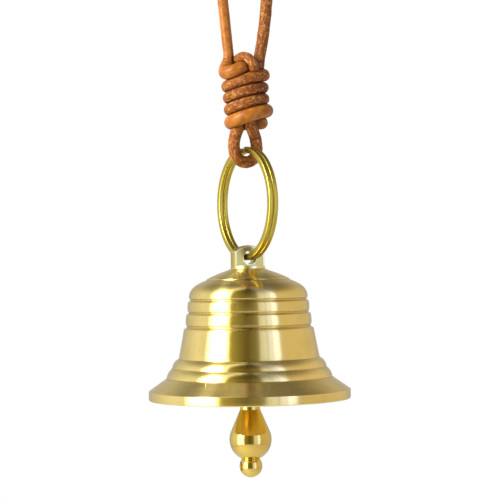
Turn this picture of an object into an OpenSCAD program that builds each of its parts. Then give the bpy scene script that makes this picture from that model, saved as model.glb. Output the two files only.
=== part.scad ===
// Small brass temple bell that hangs from a split ring on a knotted leather cord.
// Millimetres, +Z up. The origin is the inside top of the cord's loop, where a hook bears.

/* [Bell] */
// Outer diameter of the lip
mouth_d = 53.2; // [52:0.1:56]
// Drop from the inside top of the cord's loop to the rim
rim_drop = 116.4; // [115:0.1:118]
// Height of the upright band round the lip
lip_band = 2.35; // [1.5:0.05:3]
// Diameter of the mouth's inner edge
mouth_inner_d = 49.2; // [48:0.1:50]
// Height of the crown's seat for the hanger lug
crown_h = 34.2; // [34:0.1:34.6]

/* [Hanger lug] */
// Diameter of the turned lug
lug_d = 9.0; // [8.4:0.1:9.4]
// Thickness across the lug's two flats
lug_flat = 4.0; // [3.4:0.1:4.4]
// Diameter of the hole for the split ring
lug_hole_d = 3.6; // [3.6:0.05:3.8]
// Angle of the lug's hole from straight ahead
lug_turn = 20; // [16:1:24]
// Thread diameter of the stud through the crown
stud_d = 5.0; // [4.6:0.1:5.2]

/* [Split ring] */
// Outer diameter of the split ring
ring_d = 30; // [29.8:0.1:30.2]
// Width of the wire, measured from the ring's centre outwards
ring_wire_w = 1.6; // [1.4:0.05:1.7]
// Thickness of one turn, measured along the ring's axis
ring_turn_t = 1.3; // [1.1:0.05:1.3]
// Angle of the ring's plane from straight ahead
ring_turn = 28; // [24:1:28]

/* [Clapper] */
// Largest diameter of the clapper's bob
bob_d = 11.1; // [10.6:0.1:11.4]
// Diameter of the clapper's stem
stem_d = 2.4; // [2:0.1:2.4]
// Diameter of the ball under the bob
tail_ball_d = 6.0; // [5.8:0.1:6.4]
// Diameter of the hole across the ball
tail_hole_d = 2.4; // [2:0.1:2.8]

/* [Cord] */
// Diameter of the round leather cord
cord_d = 3.2; // [3:0.1:3.2]
// Diameter of the wound knot
knot_d = 12.9; // [12.4:0.1:13.4]

/* [Hidden] */
$fn = 96;
eps = 0.01;

lip_r = mouth_d / 2;
lip_soft = 0.2;
mouth_r = mouth_inner_d / 2;
mouth_bevel_w = 0.35;
mouth_bevel_h = 0.7;

// Heights above the rim of the pieces that hang on the bell's axis
lug_ledge_z = crown_h + 0.75;
lug_hole_z = 37.2;
lug_top_z = 40.45;
lug_dome_r = 7;
ceiling_z = 31.4;
washer_t = 1.0;
washer_d = 10;
nut_h = 2.7;
nut_flats = 8;
nut_chamfer_w = 0.5;
nut_chamfer_h = 0.3;
nut_gap = 0.05;
stud_gap = 0.15;
thread_pitch = 0.8;
thread_depth = 0.3;
stud_end_z = 26.9;

// Tongue under the stud, the wire link and the stem's head, which all carry one another
tongue_r = 2.0;
tongue_flat = 2.4;
tongue_hole_z = 23.9;
link_hole_d = 2.0;
link_wire_r = 0.6;
link_r = 3.2;
head_r = 2.2;
head_flat = 2.0;
hang_gap = 0.05;
head_cover = 0.5;
link_inner_r = link_r - link_wire_r;
// The link rests on the mouths of the tongue's hole, and the head's hole rests on the link
link_z = tongue_hole_z - link_hole_d / 2 + hang_gap - sqrt(pow(link_inner_r, 2) - pow(tongue_flat / 2, 2));
head_z = link_z - sqrt(pow(link_inner_r, 2) - pow(head_flat / 2, 2)) + hang_gap - link_hole_d / 2;

// Bob, with its neck above the rim and its ball below
neck_top_z = 0.6;
neck_r = 2.64;
neck_soft = 0.3;
neck_low_z = -2.8;
belly_z = -10.7;
stem_low_z = -5;
ball_z = -17.7;
bob_bore_d = stem_d + 0.1;
bob_bore_spare = 0.4;

// Split ring, centred so that its lower turn passes through the lug
ring_r = ring_d / 2;
ring_z = 51.46;
ring_gap = 0.05;
ring_corner = 0.5;
crossover_angle = 14;
crossover_turn = 155;
crossover_inset = 0.3;

// Cord
cord_r = cord_d / 2;
knot_r = knot_d / 2;
knot_low_z = 70.8;
knot_top_z = 88.2;
knot_corner = 2.6;

// Upper strands and their closed loop, seen from the front as [x, height above the rim]
loop_route = [[-4.1, 87.2], [-4.2, 90], [-4.5, 94], [-4.9, 98.5], [-5.3, 103], [-5.7, 107.5],
              [-5.9, 111.5], [-5.1, 115], [-3, 117.4], [0, 118], [3, 117.4], [5.2, 115],
              [6.1, 111.5], [6.2, 107.5], [5.9, 103], [5.4, 98.5], [4.7, 94], [3.9, 90], [3.5, 87.2]];

// Lower bight round the split ring, as [place along the ring's axis, height above the rim]
bight_route = [[-2.4, 71.8], [-3, 69.5], [-3.5, 67.5], [-3.5, 65.7], [-3.05, 64.03], [-1.83, 62.8],
               [-0.15, 62.35], [1.53, 62.8], [2.75, 64.03], [3.2, 65.7], [3.1, 67.5], [2.4, 69.5],
               [1.7, 71.8]];

// Points of a cubic curve from a to d that leaves towards b and arrives from c
function curve(a, b, c, d, steps) = [for (i = [0:steps]) let (t = i / steps, u = 1 - t)
    a * u * u * u + b * 3 * u * u * t + c * 3 * u * t * t + d * t * t * t];

// Points of an arc of a circle
function arc(centre, r, from, to, steps) = [for (i = [0:steps])
    let (angle = from + (to - from) * i / steps) centre + r * [cos(angle), sin(angle)]];

// Outline of the shell's outside, from the rim up to the seat of the lug
function shell_outside() = concat(
    [[lip_r - lip_soft, 0], [lip_r, lip_soft], [lip_r, lip_band], [22.1, 5.5]],
    // two rounded beads above the lip
    curve([21.85, 5.7], [21.75, 6.7], [21.2, 7.6], [20.5, 8.15], 5),
    curve([20.4, 8.3], [20.3, 9.3], [19.6, 10.4], [18.65, 10.75], 5),
    // waist
    curve([18.55, 11], [18.1, 13.2], [17.5, 16.4], [17.13, 18.5], 4),
    // three coves, with a plain band above each of the lower two
    curve([17.08, 18.6], [16.2, 18.9], [16.2, 19.4], [16.55, 19.7], 4),
    curve([16.6, 19.8], [16.62, 20.8], [16.55, 21.6], [16.42, 22.25], 3),
    curve([16.38, 22.35], [15.7, 22.6], [15.7, 23], [16.02, 23.25], 4),
    curve([16.06, 23.35], [16.1, 24.3], [16.06, 25], [15.95, 25.6], 3),
    curve([15.9, 25.7], [15.25, 25.95], [15.25, 26.35], [15.62, 26.6], 4),
    // shoulder, the small step on the crown, and the crown's slope up to the lug
    curve([15.68, 26.75], [15.68, 29.3], [13.5, 30.4], [11, 31.35], 10),
    curve([10.9, 31.62], [9.2, 32.5], [7.2, 33.3], [5.4, 33.85], 5),
    [[5, 34.05], [4.75, crown_h], [stud_d / 2 + stud_gap, crown_h]]);

// Outline of the shell's inside, from the stud's hole down to the rim
function shell_inside() = concat(
    [[stud_d / 2 + stud_gap, ceiling_z], [5.6, ceiling_z]],
    curve([6.2, 31.1], [10.6, 30.2], [13.6, 29], [13.7, 26.2], 8),
    curve([13.7, 26.1], [14.7, 19], [16, 13], [16.9, 10.2], 5),
    curve([17.5, 8.6], [18.6, 6.2], [20.6, 4], [22.8, 2.3], 4),
    [[mouth_r - mouth_bevel_w, mouth_bevel_h], [mouth_r, 0]]);

// Outline of the clapper's bob, from its neck down to the foot of its ball
function bob_outline() = let (belly_r = bob_d / 2, ball_r = tail_ball_d / 2) concat(
    [[0, neck_top_z], [neck_r - neck_soft, neck_top_z], [neck_r, neck_top_z - neck_soft], [neck_r, neck_low_z]],
    arc([0, belly_z], belly_r, 22, -65, 16),
    arc([0, ball_z], ball_r, 46, -90, 16));

// Outline of the threaded stud, whose thread is drawn as plain rings
function stud_outline() = let (turns = floor((ceiling_z - stud_end_z) / thread_pitch)) concat(
    [[0, lug_ledge_z], [stud_d / 2, lug_ledge_z], [stud_d / 2, ceiling_z]],
    [for (i = [0:turns - 1], side = [0, 1]) let (z = ceiling_z - (4 * i + 1 + 2 * side) / 4 * thread_pitch)
        [stud_d / 2 - thread_depth * (1 - side), z]],
    [[stud_d / 2 - thread_depth, stud_end_z], [0, stud_end_z]]);

// One ring of points round a tube in a flat route: p is the centre and way runs along the tube
function tube_ring(p, way, across, sides) = let (out = cross(way, across))
    [for (i = [0:sides - 1]) let (angle = 360 * (i + 0.5) / sides)
        p + cord_r / cos(180 / sides) * (cos(angle) * out + sin(angle) * across)];

// Direction of a route at its point i
function route_way(route, i) = let (last = len(route) - 1,
    step = route[min(i + 1, last)] - route[max(i - 1, 0)]) step / norm(step);

// Cord swept along a route that lies in one upright plane, which across stands square to
module cord_tube(route, across, sides = 8) {
    rings = len(route);
    points = [for (i = [0:rings - 1]) each tube_ring(route[i], route_way(route, i), across, sides)];
    walls = [for (i = [0:rings - 2], k = [0:sides - 1])
        let (a = i * sides + k, b = i * sides + (k + 1) % sides) [a, b, b + sides, a + sides]];
    ends = [[for (k = [sides - 1:-1:0]) k], [for (k = [0:sides - 1]) (rings - 1) * sides + k]];
    polyhedron(points = points, faces = concat(walls, ends));
}

// Places its children at the rim's height, turned about the bell's axis
module at_rim(turn = 0) {
    translate([0, 0, -rim_drop]) rotate([0, 0, turn]) children();
}

// Round bar along the local Y axis through the bell's axis
module cross_bar(r, length, z) {
    translate([0, 0, z]) rotate([90, 0, 0]) cylinder(r = r, h = length, center = true);
}

// Part of its child that lies between two flats, square to the local Y axis
module between_flats(thickness) {
    intersection() {
        children();
        translate([-50, -thickness / 2, -50]) cube([100, thickness, 150]);
    }
}

// Upper strands of the cord and the loop that closes them
module cord_loop() {
    color("sienna")
        cord_tube([for (p = loop_route) [p[0], 0, p[1] - rim_drop]], [0, 1, 0]);
}

// Wound knot, as the closed barrel that its turns fill
module cord_knot() {
    color("sienna") at_rim()
        rotate_extrude() polygon(concat(
            [[0, knot_low_z]],
            arc([knot_r - knot_corner, knot_low_z + knot_corner], knot_corner, -90, 0, 6),
            arc([knot_r - knot_corner, knot_top_z - knot_corner], knot_corner, 0, 90, 6),
            [[0, knot_top_z]]));
}

// Bight of the cord that carries the split ring
module cord_bight() {
    along = [cos(ring_turn), sin(ring_turn)];
    color("sienna")
        cord_tube([for (p = bight_route) [p[0] * along[0], p[0] * along[1], p[1] - rim_drop]],
                  [-along[1], along[0], 0]);
}

// Section of one turn of the split ring, centred on z = 0
module ring_section() {
    translate([ring_r - ring_wire_w, -ring_turn_t / 2])
        difference() {
            square([ring_wire_w, ring_turn_t]);
            for (side = [0, 1])
                translate([side * ring_wire_w, ring_turn_t]) ring_corner_cut(side);
        }
}

// Waste that rounds one outer corner of a turn
module ring_corner_cut(side) {
    mirror([side, 0]) difference() {
        translate([-eps, -ring_corner]) square([ring_corner + eps, ring_corner + eps]);
        translate([ring_corner, -ring_corner]) circle(r = ring_corner, $fn = 32);
    }
}

// Split ring: two flat turns joined where the wire crosses over
module split_ring() {
    shift = (ring_turn_t + ring_gap) / 2;
    color("goldenrod") at_rim(ring_turn)
        translate([0, 0, ring_z]) rotate([0, 90, 0]) rotate([0, 0, crossover_turn]) {
            translate([0, 0, shift]) rotate_extrude() ring_section();
            translate([0, 0, -shift]) mirror([0, 0, 1]) rotate_extrude() ring_section();
            rotate_extrude(angle = crossover_angle)
                translate([ring_r - ring_wire_w + crossover_inset, -crossover_inset])
                    square([ring_wire_w - 2 * crossover_inset, 2 * crossover_inset]);
        }
}

// Turned lug with two flats, its threaded stud, and the drilled tongue that carries the clapper
module hanger_lug() {
    color("khaki") at_rim(lug_turn) difference() {
        union() {
            intersection() {
                translate([0, 0, crown_h]) cylinder(d = lug_d, h = lug_top_z - crown_h);
                translate([0, 0, lug_top_z - lug_dome_r]) sphere(r = lug_dome_r);
                union() {
                    translate([-lug_d, -lug_flat / 2, crown_h]) cube([2 * lug_d, lug_flat, lug_d]);
                    translate([-lug_d, -lug_d, crown_h]) cube([2 * lug_d, 2 * lug_d, lug_ledge_z - crown_h]);
                }
            }
            rotate_extrude() polygon(stud_outline());
            between_flats(tongue_flat) intersection() {
                translate([0, 0, tongue_hole_z - tongue_r])
                    cylinder(r = tongue_r, h = stud_end_z - tongue_hole_z + tongue_r + eps);
                union() {
                    cross_bar(tongue_r, 2 * tongue_r, tongue_hole_z);
                    translate([-tongue_r, -tongue_r, tongue_hole_z]) cube(2 * tongue_r);
                }
            }
        }
        cross_bar(lug_hole_d / 2, 2 * lug_d, lug_hole_z);
        cross_bar(link_hole_d / 2, 2 * tongue_r, tongue_hole_z);
    }
}

// Hollow turned shell of the bell
module bell_shell() {
    color("gold") at_rim() rotate_extrude() polygon(concat(shell_outside(), shell_inside()));
}

// Washer under the crown
module crown_washer() {
    color("goldenrod") at_rim() translate([0, 0, ceiling_z - washer_t]) difference() {
        cylinder(d = washer_d, h = washer_t);
        translate([0, 0, -eps]) cylinder(r = stud_d / 2 + stud_gap, h = washer_t + 2 * eps);
    }
}

// Hexagon nut that draws the lug down on the crown
module crown_nut() {
    corner_r = nut_flats / 2 / cos(30);
    color("darkgoldenrod") at_rim(lug_turn) translate([0, 0, ceiling_z - washer_t - nut_h]) difference() {
        intersection() {
            cylinder(r = corner_r, h = nut_h, $fn = 6);
            rotate_extrude() polygon([[0, 0], [corner_r - nut_chamfer_w, 0], [corner_r, nut_chamfer_h],
                                      [corner_r, nut_h], [0, nut_h]]);
        }
        translate([0, 0, -eps]) cylinder(r = stud_d / 2 + nut_gap, h = nut_h + 2 * eps);
    }
}

// Closed wire link between the tongue and the clapper's stem
module clapper_link() {
    color("goldenrod") at_rim(lug_turn)
        translate([0, 0, link_z]) rotate([0, 90, 0])
            rotate_extrude() translate([link_r, 0]) circle(r = link_wire_r, $fn = 32);
}

// Stem of the clapper with its drilled head
module clapper_stem() {
    color("goldenrod") at_rim(lug_turn) difference() {
        union() {
            between_flats(head_flat) cross_bar(head_r, 4 * head_r, head_z);
            translate([0, 0, stem_low_z])
                cylinder(d = stem_d, h = head_z - link_hole_d / 2 - head_cover - stem_low_z);
        }
        cross_bar(link_hole_d / 2, 4 * head_r, head_z);
    }
}

// Teardrop bob with its drilled ball, screwed on the stem
module clapper_bob() {
    color("gold") at_rim(lug_turn) difference() {
        rotate_extrude() polygon(bob_outline());
        translate([0, 0, stem_low_z - bob_bore_spare])
            cylinder(d = bob_bore_d, h = neck_top_z - stem_low_z + bob_bore_spare + eps);
        translate([0, 0, ball_z]) rotate([0, 90, 0]) cylinder(d = tail_hole_d, h = 2 * tail_ball_d, center = true);
    }
}

cord_loop();
cord_knot();
cord_bight();
split_ring();
hanger_lug();
bell_shell();
crown_washer();
crown_nut();
clapper_link();
clapper_stem();
clapper_bob();
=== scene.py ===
"""Temple bell on a leather cord, built around its packed frame. Sizes are in metres, and mm where a name says so."""

import math

import bpy
import numpy as np
from mathutils import Matrix, Vector, noise
from mathutils.kdtree import KDTree


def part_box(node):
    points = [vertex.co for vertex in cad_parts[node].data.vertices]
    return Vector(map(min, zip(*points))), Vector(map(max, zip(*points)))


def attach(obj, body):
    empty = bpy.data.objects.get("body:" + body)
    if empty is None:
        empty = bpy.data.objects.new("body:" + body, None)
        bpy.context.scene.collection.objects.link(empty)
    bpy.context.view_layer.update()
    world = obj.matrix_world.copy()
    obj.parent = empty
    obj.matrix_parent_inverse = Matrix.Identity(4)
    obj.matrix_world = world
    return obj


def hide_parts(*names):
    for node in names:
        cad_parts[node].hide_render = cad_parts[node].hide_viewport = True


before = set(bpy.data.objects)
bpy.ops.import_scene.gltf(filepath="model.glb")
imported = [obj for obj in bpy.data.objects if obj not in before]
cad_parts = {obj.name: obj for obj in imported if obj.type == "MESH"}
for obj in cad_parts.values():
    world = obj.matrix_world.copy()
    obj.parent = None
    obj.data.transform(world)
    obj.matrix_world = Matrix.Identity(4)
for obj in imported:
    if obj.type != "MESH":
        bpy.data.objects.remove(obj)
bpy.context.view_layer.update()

bl_info = {
    "name": "Temple Bell Maker",
    "version": (1, 0, 0),
    "blender": (4, 5, 0),
    "location": "View3D > Sidebar > Temple Bell",
    "description": "Makes a turned brass temple bell, its clapper, split ring and knotted leather cord",
    "category": "Add Mesh",
}

MM = 0.001
RIM_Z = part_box("bell_shell")[0].z
LUG_TURN = math.radians(20)
RING_TURN = math.radians(28)
RING_HEIGHT = 51.46


# ---------------------------------------------------------------- outlines


def curve(a, b, c, d, steps):
    """Points of a cubic curve from a to d that leaves towards b and arrives from c."""
    points = []
    for i in range(steps + 1):
        t = i / steps
        u = 1 - t
        points.append(tuple(
            a[k] * u**3 + 3 * b[k] * u * u * t + 3 * c[k] * u * t * t + d[k] * t**3 for k in (0, 1)))
    return points


def arc(centre, radius, start, end, steps):
    """Points of a circle's arc, from one angle to another in degrees."""
    angles = [math.radians(start + (end - start) * i / steps) for i in range(steps + 1)]
    return [(centre[0] + radius * math.cos(a), centre[1] + radius * math.sin(a)) for a in angles]


def rounded(outline, radius, sharpest=22, steps=3):
    """The outline with each of its corners rounded off."""
    last = len(outline) - 1
    points = [outline[0]]
    for i in range(1, last):
        here, before, after = Vector(outline[i]), Vector(outline[i - 1]), Vector(outline[i + 1])
        into, out = here - before, after - here
        if min(into.length, out.length) < 1e-4:
            continue
        turn = math.degrees(abs(into.angle_signed(out)))
        if turn < sharpest:
            points.append(tuple(here))
            continue
        reach = min(radius * math.tan(math.radians(min(turn, 120)) / 2), 0.45 * into.length, 0.45 * out.length)
        a, b = here - into.normalized() * reach, here + out.normalized() * reach
        for k in range(steps + 1):
            t = k / steps
            points.append(tuple(a * (1 - t) ** 2 + here * (2 * t * (1 - t)) + b * t * t))
    return points + [outline[last]]


# ---------------------------------------------------------------- modelling steps


def deselect():
    """Leaves object mode with nothing selected."""
    active = bpy.context.view_layer.objects.active
    if active is not None and active.mode != "OBJECT":
        bpy.ops.object.mode_set(mode="OBJECT")
    bpy.ops.object.select_all(action="DESELECT")


def choose(piece):
    """Makes one piece the selected and active one."""
    deselect()
    piece.select_set(True)
    bpy.context.view_layer.objects.active = piece


def start_line(name, first):
    """A new piece in edit mode that is a single selected point."""
    deselect()
    bpy.ops.mesh.primitive_plane_add(size=MM)
    piece = bpy.context.active_object
    piece.name = piece.data.name = name
    bpy.ops.object.mode_set(mode="EDIT")
    bpy.ops.mesh.select_mode(type="VERT")
    bpy.ops.mesh.select_all(action="SELECT")
    bpy.ops.mesh.merge(type="CENTER")
    bpy.ops.transform.translate(value=tuple(first))
    return piece


def draw_line(points):
    """Extrudes the selected point from the first place to each of the others."""
    for a, b in zip(points, points[1:]):
        bpy.ops.mesh.extrude_vertices_move(TRANSFORM_OT_translate={"value": tuple(Vector(b) - Vector(a))})


def close_up(inside=False):
    """Merges doubles and turns the faces outwards, then leaves edit mode."""
    bpy.ops.mesh.select_all(action="SELECT")
    bpy.ops.mesh.remove_doubles(threshold=1e-6)
    bpy.ops.mesh.normals_make_consistent(inside=inside)
    bpy.ops.object.mode_set(mode="OBJECT")


def turned(name, outline, segments):
    """A piece turned on the bell's axis from an outline of (radius, height over the rim) in mm."""
    places = [Vector((r * MM, 0, RIM_Z + z * MM)) for r, z in outline]
    piece = start_line(name, places[0])
    draw_line(places)
    bpy.ops.mesh.select_all(action="SELECT")
    bpy.ops.mesh.spin(steps=segments, angle=math.tau, center=(0, 0, 0), axis=(0, 0, 1))
    close_up()
    return piece


def slab(name, outline, thickness):
    """A flat block from an outline of (x, height over the rim) in mm, as thick as that along Y."""
    places = [Vector((x * MM, -thickness / 2 * MM, RIM_Z + z * MM)) for x, z in outline]
    piece = start_line(name, places[0])
    draw_line(places + places[:1])
    bpy.ops.mesh.select_all(action="SELECT")
    bpy.ops.mesh.remove_doubles(threshold=1e-6)
    bpy.ops.mesh.select_all(action="SELECT")
    bpy.ops.mesh.edge_face_add()
    bpy.ops.mesh.extrude_region_move(TRANSFORM_OT_translate={"value": (0, thickness * MM, 0)})
    close_up()
    return piece


def bar(radius, length, centre, rotation=(0, 0, 0), sides=96):
    """A round bar to cut or join with; sizes in mm, and centre is (x, y, height over the rim)."""
    deselect()
    bpy.ops.mesh.primitive_cylinder_add(
        vertices=sides, radius=radius * MM, depth=length * MM,
        location=(centre[0] * MM, centre[1] * MM, RIM_Z + centre[2] * MM), rotation=rotation)
    piece = bpy.context.active_object
    bpy.ops.object.transform_apply(location=True, rotation=True, scale=True)
    return piece


def combine(piece, other, operation):
    """Cuts, joins or intersects a piece with another, which is then removed."""
    choose(piece)
    bpy.ops.object.modifier_add(type="BOOLEAN")
    modifier = piece.modifiers[-1]
    modifier.object, modifier.operation, modifier.solver = other, operation, "EXACT"
    bpy.ops.object.modifier_apply(modifier=modifier.name)
    bpy.data.objects.remove(other)
    return piece


def flatten(piece):
    """Makes one face of each flat that is in several pieces."""
    choose(piece)
    bpy.ops.object.mode_set(mode="EDIT")
    bpy.ops.mesh.select_all(action="SELECT")
    bpy.ops.mesh.dissolve_limited(angle_limit=math.radians(0.5))
    bpy.ops.object.mode_set(mode="OBJECT")


def ease_edges(piece, width, segments=3, sharpest=32):
    """Rounds a piece's sharp edges."""
    choose(piece)
    bpy.ops.object.modifier_add(type="BEVEL")
    modifier = piece.modifiers[-1]
    modifier.width, modifier.segments = width * MM, segments
    modifier.limit_method, modifier.angle_limit = "ANGLE", math.radians(sharpest)
    modifier.miter_outer = "MITER_ARC"
    bpy.ops.object.modifier_apply(modifier=modifier.name)
    return piece


def slice_up(piece, across, heights):
    """Divides a piece's flats by cuts at those places along X and heights over the rim, in mm."""
    choose(piece)
    bpy.ops.object.mode_set(mode="EDIT")
    cuts = [((x * MM, 0, 0), (1, 0, 0)) for x in across] + [((0, 0, RIM_Z + z * MM), (0, 0, 1)) for z in heights]
    for place, way in cuts:
        bpy.ops.mesh.select_all(action="SELECT")
        bpy.ops.mesh.bisect(plane_co=place, plane_no=way)
    bpy.ops.object.mode_set(mode="OBJECT")


def turn_piece(piece, angle):
    """Turns a piece's mesh about the bell's axis."""
    choose(piece)
    piece.rotation_euler.z = angle
    bpy.ops.object.transform_apply(location=True, rotation=True, scale=True)
    return piece


def note_wear_and_shade(piece):
    """Keeps on each point how far it stands out as an edge, and how deep it lies in a recess."""
    mesh = piece.data
    places = np.zeros(len(mesh.vertices) * 3, np.float32)
    normals = np.zeros(len(mesh.vertices) * 3, np.float32)
    ends = np.zeros(len(mesh.edges) * 2, np.int32)
    mesh.vertices.foreach_get("co", places)
    mesh.vertex_normals.foreach_get("vector", normals)
    mesh.edges.foreach_get("vertices", ends)
    places, normals, ends = places.reshape(-1, 3), normals.reshape(-1, 3), ends.reshape(-1, 2)
    way = (places[ends[:, 1]] - places[ends[:, 0]]) / MM
    long = np.maximum(np.linalg.norm(way, axis=1), 1e-4)
    bend, count = np.zeros(len(places)), np.zeros(len(places))
    for end, sign in ((0, 1), (1, -1)):
        np.add.at(bend, ends[:, end], 2 * sign * (way * normals[ends[:, end]]).sum(1) / long**2)
        np.add.at(count, ends[:, end], 1)
    bend /= np.maximum(count, 1)
    for name, value in (("edge", (-bend - 0.8) / 3), ("recess", (bend - 0.15) / 0.9)):
        layer = mesh.attributes.new(name, "FLOAT", "POINT")
        layer.data.foreach_set("value", np.clip(value, 0, 1).astype(np.float32))


def hand_over(piece, material, body, slot, *nodes, sharpest=34):
    """Smooths a finished piece, gives it its material, and ties it to the frame."""
    choose(piece)
    bpy.ops.object.shade_smooth_by_angle(angle=math.radians(sharpest))
    note_wear_and_shade(piece)
    piece.data.materials.clear()
    piece.data.materials.append(material)
    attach(piece, body)
    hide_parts(*nodes)
    return piece


# ---------------------------------------------------------------- shader nodes


def put(tree, kind, feeds=None, **settings):
    """Adds a node, sets it up, and joins or sets its inputs."""
    node = tree.nodes.new(kind)
    for key, value in settings.items():
        setattr(node, key, value)
    for key, value in (feeds or {}).items():
        if isinstance(value, bpy.types.NodeSocket):
            tree.links.new(value, node.inputs[key])
        else:
            node.inputs[key].default_value = value
    return node


def work(tree, operation, *values):
    """The result of a math node."""
    return put(tree, "ShaderNodeMath", dict(enumerate(values)), operation=operation).outputs[0]


def ranged(tree, value, low, high, to_low=0.0, to_high=1.0, smooth=True):
    """A value moved from one range to another, and held there."""
    feeds = {"Value": value, "From Min": low, "From Max": high, "To Min": to_low, "To Max": to_high}
    style = "SMOOTHSTEP" if smooth else "LINEAR"
    return put(tree, "ShaderNodeMapRange", feeds, interpolation_type=style, clamp=True).outputs["Result"]


def mixed(tree, share, a, b, blend="MIX"):
    """Two colours mixed."""
    node = put(tree, "ShaderNodeMix", data_type="RGBA", blend_type=blend)
    for index, value in ((0, share), (6, a), (7, b)):
        if isinstance(value, bpy.types.NodeSocket):
            tree.links.new(value, node.inputs[index])
        else:
            node.inputs[index].default_value = value
    return node.outputs[2]


def grain(tree, place, scale, detail=3.0, roughness=0.55, distortion=0.0):
    """A noise texture's value at a place."""
    feeds = {"Vector": place, "Scale": scale, "Detail": detail, "Roughness": roughness, "Distortion": distortion}
    return put(tree, "ShaderNodeTexNoise", feeds, noise_dimensions="3D").outputs[0]


def opaque(colour):
    """A colour with its alpha."""
    return (*tuple(colour)[:3], 1.0)


def open_group(name, takes, gives):
    """A new shader group with these inputs and outputs; returns the tree, what comes in, and what goes out."""
    tree = bpy.data.node_groups.new(name, "ShaderNodeTree")
    for label, kind, default in takes:
        socket = tree.interface.new_socket(label, in_out="INPUT", socket_type=kind)
        if default is not None:
            socket.default_value = default
    for label, kind in gives:
        tree.interface.new_socket(label, in_out="OUTPUT", socket_type=kind)
    return tree, put(tree, "NodeGroupInput").outputs, put(tree, "NodeGroupOutput").inputs


def turning_lines_group():
    """Fine rings left by the lathe, which run round the Z axis."""
    tree, takes, gives = open_group(
        "turning_lines",
        [("Place", "NodeSocketVector", None), ("Lines", "NodeSocketFloat", 7.0)],
        [("Height", "NodeSocketFloat"), ("Streaks", "NodeSocketFloat")])
    apart = put(tree, "ShaderNodeSeparateXYZ", {0: takes["Place"]}).outputs
    level = put(tree, "ShaderNodeCombineXYZ", {0: apart[0], 1: apart[1]}).outputs[0]
    radius = put(tree, "ShaderNodeVectorMath", {0: level}, operation="LENGTH").outputs["Value"]
    stray = grain(tree, takes["Place"], 90.0, 2.0)
    radius = work(tree, "MULTIPLY_ADD", stray, 0.00006, radius)
    across = put(tree, "ShaderNodeCombineXYZ", {0: radius, 1: apart[2]}).outputs[0]
    fine = put(tree, "ShaderNodeVectorMath", {0: across, 3: 1000.0}, operation="SCALE").outputs[0]
    lines = grain(tree, fine, takes["Lines"], 2.0, 0.7)
    bands = grain(tree, fine, 0.9, 2.0, 0.6)
    tree.links.new(work(tree, "MULTIPLY_ADD", bands, 0.6, lines), gives["Height"])
    tree.links.new(ranged(tree, work(tree, "MULTIPLY_ADD", bands, 0.5, lines), 0.55, 0.95), gives["Streaks"])
    return tree


def handling_marks_group():
    """Smudges from hands and a few hair scratches."""
    tree, takes, gives = open_group(
        "handling_marks",
        [("Place", "NodeSocketVector", None), ("Smudge size", "NodeSocketFloat", 130.0)],
        [("Smudge", "NodeSocketFloat"), ("Scratch", "NodeSocketFloat")])
    smudge = grain(tree, takes["Place"], takes["Smudge size"], 4.0, 0.6, 0.4)
    tree.links.new(ranged(tree, smudge, 0.48, 0.72), gives["Smudge"])
    spun = put(tree, "ShaderNodeMapping", {"Vector": takes["Place"], "Rotation": (0.5, 0.9, 0.3),
                                           "Scale": (2600.0, 110.0, 160.0)}).outputs[0]
    first = grain(tree, spun, 1.0, 1.0, 0.4)
    spun = put(tree, "ShaderNodeMapping", {"Vector": takes["Place"], "Rotation": (1.1, -0.4, 0.8),
                                           "Scale": (120.0, 2900.0, 150.0)}).outputs[0]
    second = grain(tree, spun, 1.0, 1.0, 0.4)
    scratch = work(tree, "MAXIMUM", first, second)
    tree.links.new(ranged(tree, scratch, 0.7, 0.78), gives["Scratch"])
    return tree


def tarnish_and_shade_group():
    """Brass colour that darkens in recesses as painted shade, tarnishes in random clouds, and shines on worn edges."""
    tree, takes, gives = open_group(
        "brass_tarnish_and_shade",
        [("Place", "NodeSocketVector", None), ("Clean", "NodeSocketColor", None), ("Dull and shade", "NodeSocketColor", None),
         ("Bright", "NodeSocketColor", None), ("Recess", "NodeSocketFloat", 0.0), ("Edge", "NodeSocketFloat", 0.0),
         ("Amount", "NodeSocketFloat", 0.5)],
        [("Colour", "NodeSocketColor"), ("Dullness", "NodeSocketFloat")])
    cloud = ranged(tree, grain(tree, takes["Place"], 70.0, 5.0, 0.6), 0.42, 0.68)
    cloud = work(tree, "MULTIPLY", cloud, takes["Amount"])
    # Painted shade in recesses, mixed with the tarnish clouds
    deep = ranged(tree, takes["Recess"], 0.1, 0.9, 0.0, 0.5)
    dull_and_shade = work(tree, "MAXIMUM", work(tree, "MULTIPLY", cloud, 0.45), deep)
    colour = mixed(tree, dull_and_shade, takes["Clean"], takes["Dull and shade"])
    worn = ranged(tree, takes["Edge"], 0.1, 0.6, 0.0, 0.8)
    tree.links.new(mixed(tree, worn, colour, takes["Bright"]), gives["Colour"])
    tree.links.new(dull_and_shade, gives["Dullness"])
    return tree


def group_node(tree, group, feeds):
    """A group placed in a material."""
    node = tree.nodes.new("ShaderNodeGroup")
    node.node_tree = group
    for key, value in feeds.items():
        if isinstance(value, bpy.types.NodeSocket):
            tree.links.new(value, node.inputs[key])
        else:
            node.inputs[key].default_value = value
    return node.outputs


def shared_group(name, build):
    """A shader group, built the first time that it is asked for."""
    return bpy.data.node_groups.get(name) or build()


def new_material(name):
    """An empty material and its tree, with the shader and output in place."""
    material = bpy.data.materials.new(name)
    material.use_nodes = True
    tree = material.node_tree
    tree.nodes.clear()
    shader = put(tree, "ShaderNodeBsdfPrincipled")
    output = put(tree, "ShaderNodeOutputMaterial")
    tree.links.new(shader.outputs[0], output.inputs["Surface"])
    return material, tree, shader


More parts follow.
